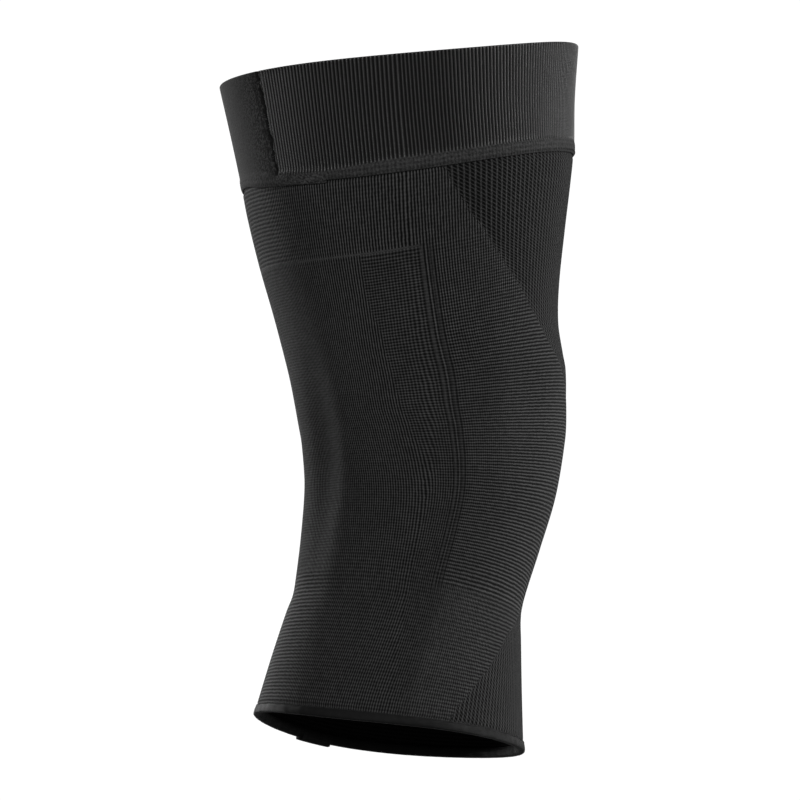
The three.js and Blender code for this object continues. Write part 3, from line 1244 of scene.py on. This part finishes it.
@dataclass
class KnitTube:
    """The shaped tube, knitted in one piece from the cuff to the hem."""

    leg: LegForm
    knit: KnitCount
    finish: KnitFinish = KnitFinish()
    wall: float = 1.9 * MM
    end_wall: float = 1.3 * MM
    hem_pinch: float = -0.65 * MM
    cuff_pinch: float = -1.15 * MM
    mesh_depth: float = 0.30 * MM
    shin_depth: float = 0.22 * MM
    ridge_height: float = 0.06 * MM
    # share of that height for each of the three ridges
    ridge_shares: tuple[float, float, float] = (1.0, 0.62, 0.40)
    outer_rows: int = 178
    inner_rows: int = 46
    # columns beside the raised line: how many, how far apart and how far from its wale they start
    fine_columns: int = 25
    fine_pitch: float = 0.31
    fine_lead: float = 5.2

    def columns(self) -> list[float]:
        """Wales at which the grid has a column, closer together beside the raised line.

        Returns:
            The wales, from one side of the back to the other.
        """
        fine = [SEAM_WALE - self.fine_lead + k * self.fine_pitch for k in range(self.fine_columns)]
        half = [float(k) for k in range(WALES // 2 + 1) if not fine[0] - 0.5 < k < fine[-1] + 0.5]
        half = sorted(half + fine)
        return [-wale for wale in reversed(half) if wale > 0] + half

    def ridge(self, wale: float, course: float) -> float:
        """Relief of the raised line and of the wide wales in front of it.

        Args:
            wale: count from the kneecap.
            course: count from the calf.

        Returns:
            How far the cloth stands out.
        """
        steps = (SEAM_WALE - abs(wale)) / RIDGE_PITCH
        if not -0.75 < steps < 3.25:
            return 0.0
        first, second, third = self.ridge_shares
        share = first if steps < 0.5 else second if steps < 1.5 else third
        share *= ramp(abs(steps - 1.25), 2.0, 1.6) * ramp(course, *RIDGE_FOOT) * ramp(course, *RIDGE_HEAD)
        return self.ridge_height * math.cos(math.tau * steps) * share

    def zone_relief(self, wale: float, course: float) -> float:
        """Soft steps between the zones: the open mesh lies lower than the close knit beside it.

        Args:
            wale: count from the kneecap.
            course: count from the calf.

        Returns:
            How far the cloth stands out, which is never above 0.
        """
        sunk = 0.0
        zones = ((self.finish.mesh_edge, self.mesh_depth), (self.finish.shin_edge, self.shin_depth))
        for rows, depth in zones:
            low, high = next(pair for pair in zip(rows, rows[1:]) if course <= pair[1][0])
            edge = low[1] + (high[1] - low[1]) * (course - low[0]) / (high[0] - low[0])
            sunk += depth * ramp(edge - abs(wale), -1.0, 1.5) if edge > 0 else 0.0
        return -sunk

    def steps(self) -> list[Step]:
        """The section, up the outside and down the inside.

        Returns:
            Its steps, with the first again at the end.
        """
        share = MM / SLEEVE_LENGTH
        low, high, tucked = CALF_RIM + 5.4 * share, CUFF_FOOT - 2.0 * share, CUFF_FOOT + 5.6 * share
        outer = [Step(CALF_RIM + up * share, self.hem_pinch) for up in (1.5, 4.0)]
        outer += [Step(at, 0.0, relief=True) for at in spread(low, high, self.outer_rows)]
        outer += [Step(CUFF_FOOT - 0.2 * share, -0.7 * MM), Step(tucked, self.cuff_pinch)]
        inner = [Step(tucked, self.cuff_pinch - self.end_wall, inside=True)]
        inner += [Step(at, -self.wall, inside=True) for at in spread(high, low, self.inner_rows)]
        inner += [Step(CALF_RIM + 1.5 * share, self.hem_pinch - self.end_wall, inside=True)]
        return outer + inner + [outer[0]]

    def place(self, wale: float, step: Step) -> Vector:
        """Place of a wale on a step of the section.

        Args:
            wale: count from the kneecap.
            step: the step.

        Returns:
            The place in the frame.
        """
        side = self.knit.side(abs(wale), step.at)
        out = step.out
        if step.relief:
            course = self.knit.course(side, step.at)
            out += self.ridge(wale, course) + self.zone_relief(wale, course)
        return self.leg.point(side if wale >= 0 else 360 - side, step.at, out)

    def count(self, wale: float, step: Step) -> tuple[float, float]:
        """UV coordinates of a wale on a step."""
        side = self.knit.side(abs(wale), step.at)
        return wale / UV_WALES + 0.5, self.knit.course(side, step.at) / UV_COURSES

    def build(self) -> bpy.types.Object:
        """Builds and dresses the tube.

        Returns:
            The piece.
        """
        piece = Wall(self.columns(), self.steps(), self.place, self.count, "knit").build("knit_tube_cloth")
        dress(piece, Slot.KNIT, self.finish.material(), LiningFinish().material())
        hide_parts("knit_tube")
        return piece


@dataclass
class ThighCuff:
    """The wide ribbed band, folded over at its top edge and lapped over the tube at its foot."""

    leg: LegForm
    plan: BandPlan = BandPlan()
    wall: float = 2.0 * MM
    rib_depth: float = 1.15 * MM
    inner_rib_depth: float = 0.2 * MM
    groove_power: float = 1.6
    columns_per_rib: int = 6
    outer_rows: int = 28
    inner_rows: int = 6
    lap_drop: float = 1.2 * MM
    lap_rise: float = 0.3 * MM
    seam_depth: float = 0.95 * MM
    seam_width: float = 0.42
    # degrees, count over the height and start of each wave by which the seam wanders
    seam_waves: tuple[tuple[float, float, float], ...] = ((0.30, 19, 0.6), (0.24, 47, 2.1), (0.16, 97, 0.0))
    # degrees between columns on the plain stretch and over the seam, and how far the fine ones reach
    plain_pitch: float = 0.6
    seam_pitch: float = 0.14
    seam_columns: int = 34
    # height above the foot's edge and distance out of the swollen foot, in millimetres
    welt: tuple[tuple[float, float], ...] = (
        (0.4, 0.20), (1.2, 0.34), (2.2, 0.38), (3.2, 0.36), (4.1, 0.30),
        (4.7, 0.20), (5.2, 0.05), (5.8, 0.0), (7.4, 0.0),
    )
    # depth below the rim and distance out of the fold, in millimetres
    fold: tuple[tuple[float, float], ...] = (
        (0.9, 0.0), (0.3, -0.06), (0.04, -0.28), (0.0, -1.0), (0.15, -1.45), (0.6, -1.84), (1.4, -2.0),
    )
    # height above the foot's edge and distance out of the inner end, in millimetres
    end: tuple[tuple[float, float], ...] = ((5.9, -0.9), (0.3, -0.85), (0.0, -0.5), (0.0, -0.1))

    def columns(self) -> list[float]:
        """Turns at which the grid has a column.

        Returns:
            The turns, in order.
        """
        plan, seam_start = self.plan, self.plan.plain_end - 1.2
        pitch = 360 / RIBS / self.columns_per_rib
        turns = [k * pitch for k in range(RIBS * self.columns_per_rib + 1)]
        ribbed = [turn for turn in turns if turn <= plan.plain_start or turn > plan.plain_end + 3.6]
        plain_columns = int((seam_start - plan.plain_start) / self.plain_pitch)
        plain = [plan.plain_start + self.plain_pitch * k for k in range(1, plain_columns)]
        seam = [seam_start + self.seam_pitch * k for k in range(self.seam_columns)]
        return sorted(ribbed + plain + seam + [plan.lap_end - 0.05, plan.lap_end + 0.05])

    def steps(self) -> list[Step]:
        """The section, up the outside and down the inside.

        Returns:
            Its steps, with the first again at the end.
        """
        top, last = CUFF_HEIGHT, self.welt[-1][0] * MM
        rows = [(up * MM, out * MM, False) for up, out in self.welt]
        rows += [(up, 0.0, False) for up in spread(last, top - 2 * MM, self.outer_rows)[1:]]
        rows += [(top - down * MM, out * MM, k > 3) for k, (down, out) in enumerate(self.fold)]
        rows += [(up, -self.wall, True) for up in spread(top - 3 * MM, last, self.inner_rows)]
        rows += [(up * MM, out * MM, k < 3) for k, (up, out) in enumerate(self.end)]
        steps = [Step(CUFF_FOOT + up / SLEEVE_LENGTH, out, inside) for up, out, inside in rows]
        return [*steps, steps[0]]

    def wander(self, up: float) -> float:
        """How far the joining seam lies beyond its top end, in degrees.

        Args:
            up: height above the foot's edge.

        Returns:
            The turn.
        """
        t = up / CUFF_HEIGHT
        waves = sum(size * math.sin(count * t + start) for size, count, start in self.seam_waves)
        return waves + self.plan.slant * (1 - t)

    def ribs(self, turn: float, up: float, inside: bool) -> float:
        """Relief of the ribs.

        Args:
            turn: degrees round the leg.
            up: height above the foot's edge.
            inside: whether it is the inner face.

        Returns:
            How far the cloth stands out.
        """
        plan = self.plan
        before = turn <= plan.plain_start
        if not before and turn <= plan.plain_end + self.wander(up):
            return 0.0
        edge = min(1.0, (plan.plain_start - turn) / 4) if before else 1.0
        foot = plan.low_foot + (plan.foot - plan.low_foot) * ramp(turn, *plan.foot_turns)
        rise = ramp(up, foot, foot + 1.6 * MM) * ramp(up, CUFF_HEIGHT + 0.4 * MM, CUFF_HEIGHT - 1.4 * MM)
        groove = (0.5 + 0.5 * math.cos(math.tau * turn * RIBS / 360)) ** self.groove_power
        return (self.inner_rib_depth if inside else -self.rib_depth) * groove * rise * edge

    def groove(self, turn: float, up: float) -> float:
        """Depth of the joining seam's groove.

        Args:
            turn: degrees round the leg.
            up: height above the foot's edge.

        Returns:
            How far the cloth lies in.
        """
        away = (turn - (self.plan.plain_end - 0.3 + self.wander(up))) / self.seam_width
        foot = self.plan.low_foot
        return self.seam_depth * math.exp(-(away**2)) * ramp(up, foot * 0.9, foot * 1.2)

    def place(self, turn: float, step: Step) -> Vector:
        """Place of a turn on a step of the section.

        Args:
            turn: degrees round the leg.
            step: the step.

        Returns:
            The place in the frame.
        """
        plan, at = self.plan, step.at
        up = (at - CUFF_FOOT) * SLEEVE_LENGTH
        out = step.out + self.ribs(turn, up, step.inside)
        if turn < plan.lap_end and up < plan.foot * 1.1:
            share = ramp(turn, plan.plain_start + 25, plan.plain_start + 40)
            share *= ramp(up, plan.foot * 1.1, plan.foot * 0.7)
            at -= self.lap_drop / SLEEVE_LENGTH * share * ramp(up, plan.foot, 0)
            out += self.lap_rise * share
        if not step.inside and up > plan.low_foot:
            out -= self.groove(turn, up)
        return self.leg.point(turn % 360, at, out)

    def count(self, turn: float, step: Step) -> tuple[float, float]:
        """UV coordinates of a turn on a step."""
        return turn / 360, (step.at - CUFF_FOOT) * SLEEVE_LENGTH / CUFF_HEIGHT

    def build(self) -> bpy.types.Object:
        """Builds and dresses the cuff.

        Returns:
            The piece.
        """
        piece = Wall(self.columns(), self.steps(), self.place, self.count, "band").build("thigh_cuff_cloth")
        dress(piece, Slot.RIB, CuffFinish(self.plan).material())
        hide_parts("thigh_cuff")
        return piece


@dataclass
class CalfHem:
    """The smooth tape folded over the calf end, with its two ends lapped."""

    leg: LegForm
    lap_start: float = 116.0
    lap_end: float = 132.0
    lap_drop: float = 1.0 * MM
    lap_rise: float = 0.4 * MM
    ripple: float = 0.05 * MM
    # height above the rim and distance out, in millimetres, up the outside and down the inside
    outline: tuple[tuple[float, float], ...] = (
        (0.0, -0.5), (0.05, -0.15), (0.25, 0.15), (0.7, 0.34), (1.4, 0.42), (2.2, 0.40), (3.0, 0.30),
        (3.5, 0.14), (3.8, -0.05), (3.7, -0.35), (1.2, -0.35), (1.2, -2.25), (3.7, -2.25), (3.8, -2.6),
        (3.5, -2.9), (2.2, -3.0), (0.8, -2.9), (0.2, -2.5), (0.0, -2.0),
    )
    shares: dict[Step, float] = field(default_factory=dict)

    def columns(self) -> list[float]:
        """Turns at which the grid has a column."""
        ends = [turn + gap for turn in (self.lap_start, self.lap_end) for gap in (-0.05, 0.05)]
        return sorted([float(turn) for turn in range(361)] + ends)

    def steps(self) -> list[Step]:
        """The section, whose outer face and rim have the relief.

        Returns:
            Its steps, with the first again at the end.
        """
        steps = [
            Step(CALF_RIM + up * MM / SLEEVE_LENGTH, out * MM, relief=-0.3 < out or up < 1)
            for up, out in self.outline
        ]
        return [*steps, steps[0]]

    def place(self, turn: float, step: Step) -> Vector:
        """Place of a turn on a step of the section.

        Args:
            turn: degrees round the leg.
            step: the step.

        Returns:
            The place in the frame.
        """
        at, out = step.at, step.out
        if step.relief and self.lap_start < turn < self.lap_end:
            at -= self.lap_drop * ramp((at - CALF_RIM) * SLEEVE_LENGTH, HEM_HEIGHT, 0) / SLEEVE_LENGTH
            out += self.lap_rise if out > -1 * MM else 0.0
        if step.relief:
            out += self.ripple * (math.sin(turn * 0.61) + math.sin(turn * 1.37 + 1.1))
        return self.leg.point(turn % 360, at, out)

    def count(self, turn: float, step: Step) -> tuple[float, float]:
        """UV coordinates of a turn on a step."""
        return turn / 360, self.shares[step]

    def build(self) -> bpy.types.Object:
        """Builds and dresses the hem.

        Returns:
            The piece.
        """
        steps = self.steps()
        self.shares = {step: k / (len(steps) - 1) for k, step in enumerate(steps)}
        piece = Wall(self.columns(), steps, self.place, self.count, "tape").build("calf_hem_tape")
        dress(piece, Slot.HEM, TapeFinish().material())
        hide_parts("calf_hem")
        return piece


@dataclass
class Stitches:
    """Small stitches, each one a short length of thread lying on the cloth."""

    name: str
    slot: Slot
    thick: float
    work: bmesh.types.BMesh = field(default_factory=bmesh.new)

    def lay(self, start: Vector, end: Vector, outward: Vector) -> None:
        """Adds one stitch between two places.

        Args:
            start: one end.
            end: the other end.
            outward: direction away from the leg.
        """
        along = end - start
        run = along.normalized()
        across = run.cross(outward).normalized()
        lift = across.cross(run)
        turned = Matrix((run, across, lift)).transposed().to_4x4()
        size = Matrix.Diagonal((along.length / 2, self.thick / 2, self.thick / 2.4, 1))
        matrix = Matrix.Translation((start + end) / 2) @ turned @ size
        bmesh.ops.create_icosphere(self.work, subdivisions=1, radius=1.0, matrix=matrix)

    def finish(self) -> bpy.types.Object:
        """Closes the stitches as one piece.

        Returns:
            The piece.
        """
        for face in self.work.faces:
            face.smooth = True
        piece = to_object(self.work, self.name)
        dress(piece, self.slot, ThreadFinish(self.name + "_thread").material())
        return piece


@dataclass(frozen=True)
class Row:
    """A row of stitches round the leg, in turns, a height on the leg and lengths."""

    start: float
    end: float
    pitch: float
    at: float
    out: float
    # turn by which a stitch's top leads its foot
    lean: float
    tall: float = 0.9 * MM


@dataclass
class Seams:
    """The sewing along the hem's upper edge and the cuff's foot."""

    leg: LegForm
    hem_row: Row = Row(0, 360, 0.72, CALF_RIM + 3.6 * MM / SLEEVE_LENGTH, 0.12 * MM, 0.42)
    cuff_row: Row = Row(-117.6, 170, 1.29, CUFF_FOOT + 1.0 * MM / SLEEVE_LENGTH, 0.40 * MM, 0.5)

    def outward(self, turn: float, at: float) -> Vector:
        """Direction away from the leg at a place."""
        return (self.leg.point(turn, at, MM) - self.leg.point(turn, at)).normalized()

    def sew(self, stitches: Stitches, row: Row) -> bpy.types.Object:
        """Lays a row of stitches, a little unevenly.

        Args:
            stitches: the thread.
            row: where they go.

        Returns:
            The piece.
        """
        half = row.tall / 2 / SLEEVE_LENGTH
        for k in range(int((row.end - row.start) / row.pitch)):
            turn = row.start + row.pitch * (k + 0.12 * math.sin(k * 2.4))
            low = self.leg.point((turn - row.lean / 2) % 360, row.at - half, row.out)
            high = self.leg.point((turn + row.lean / 2) % 360, row.at + half, row.out)
            stitches.lay(low, high, self.outward(turn % 360, row.at))
        return stitches.finish()

    def hem(self) -> bpy.types.Object:
        """Stitches along the hem's upper edge."""
        return self.sew(Stitches("hem_stitches", Slot.HEM, 0.34 * MM), self.hem_row)

    def cuff(self) -> bpy.types.Object:
        """Stitches along the cuff's foot."""
        return self.sew(Stitches("cuff_stitches", Slot.RIB, 0.30 * MM), self.cuff_row)


@dataclass(frozen=True)
class Softbox:
    """A large soft light that faces the knee, in metres and watts."""

    name: str
    place: tuple[float, float, float]
    size: tuple[float, float]
    power: float

    def build(self) -> None:
        """Adds the light."""
        data = bpy.data.lights.new(self.name, "AREA")
        data.shape = "RECTANGLE"
        data.size, data.size_y = self.size
        data.energy = self.power
        light = bpy.data.objects.new(self.name, data)
        light.location = self.place
        light.rotation_mode = "QUATERNION"
        light.rotation_quaternion = (-Vector(self.place)).to_track_quat("-Z", "Y")
        bpy.context.collection.objects.link(light)


@dataclass
class Studio:
    """Plain pale floor, soft light from both sides, and a camera a long way off."""

    distance: float = 14.0
    elevation: float = -7.0
    width: float = 0.336
    aim: tuple[float, float, float] = (-0.0126, 0.0, 0.0127)
    sensor: float = 36.0
    floor_height: float = -14.0
    floor_size: float = 40.0
    fill: float = 0.12
    backdrop: float = 1.05
    softboxes: tuple[Softbox, ...] = (
        Softbox("right_softbox", (2.2, 0.75, 0.4), (1.0, 2.2), 45.0),
        Softbox("left_softbox", (-1.6, 1.7, 0.55), (0.8, 2.2), 47.0),
        Softbox("front_softbox", (0.5, -2.8, 1.2), (1.6, 1.4), 48.0),
        Softbox("back_softbox", (-0.4, 2.8, 1.4), (1.6, 1.4), 20.0),
    )

    def camera(self) -> None:
        """Places the camera at the photograph's angle."""
        data = bpy.data.cameras.new("camera")
        data.sensor_width = self.sensor
        data.lens = data.sensor_width * self.distance / self.width
        data.clip_start, data.clip_end = 0.1, 60.0
        camera = bpy.data.objects.new("camera", data)
        bpy.context.collection.objects.link(camera)
        e = math.radians(self.elevation)
        back = Vector((0.0, -math.cos(e), math.sin(e)))
        camera.location = Vector(self.aim) + back * self.distance
        camera.rotation_mode = "QUATERNION"
        camera.rotation_quaternion = (-back).to_track_quat("-Z", "Y")
        bpy.context.scene.camera = camera

    def floor(self) -> None:
        """Adds the floor, far enough down for the view from below."""
        work = bmesh.new()
        place = Matrix.Translation((0, 0, self.floor_height))
        bmesh.ops.create_grid(work, x_segments=1, y_segments=1, size=self.floor_size, matrix=place)
        plane = to_object(work, "floor")
        board = Board("floor_paper")
        board.tone(board.noise(0.6, 1.0), 0.80, 0.86)
        paper = board.bump(board.noise(30.0), 0.5 * MM)
        board.finish(paper, roughness=0.9, emission_color=(1, 1, 1, 1), emission_strength=0.5)
        plane.data.materials.append(board.material)
        plane.visible_diffuse = False
        plane.visible_glossy = False

    def world(self) -> None:
        """White behind the object, and a weak even light round it."""
        world = bpy.data.worlds.new("studio")
        bpy.context.scene.world = world
        world.use_nodes = True
        tree = world.node_tree
        tree.nodes.clear()
        output = tree.nodes.new("ShaderNodeOutputWorld")
        mix = tree.nodes.new("ShaderNodeMixShader")
        seen = tree.nodes.new("ShaderNodeLightPath")
        around, behind = (tree.nodes.new("ShaderNodeBackground") for _ in range(2))
        for light, strength in ((around, self.fill), (behind, self.backdrop)):
            light.inputs["Color"].default_value = (1, 1, 1, 1)
            light.inputs["Strength"].default_value = strength
        tree.links.new(seen.outputs["Is Camera Ray"], mix.inputs[0])
        tree.links.new(around.outputs[0], mix.inputs[1])
        tree.links.new(behind.outputs[0], mix.inputs[2])
        tree.links.new(mix.outputs[0], output.inputs["Surface"])

    def build(self) -> None:
        """Builds the studio."""
        self.camera()
        self.floor()
        self.world()
        for softbox in self.softboxes:
            softbox.build()
        bpy.context.scene.view_settings.view_transform = "Standard"


def report(piece: bpy.types.Object) -> None:
    """Logs a piece and its size."""
    log.info("%s: %d faces", piece.name, len(piece.data.polygons))


def main() -> None:
    """Builds the sleeve and its studio."""
    logging.basicConfig(level=logging.INFO, format="%(message)s")
    leg, knit = LegForm(), KnitCount()
    Studio().build()
    report(KnitTube(leg, knit).build())
    report(ThighCuff(leg).build())
    report(CalfHem(leg).build())
    seams = Seams(leg)
    report(seams.hem())
    report(seams.cuff())


if __name__ == "__main__":
    main()
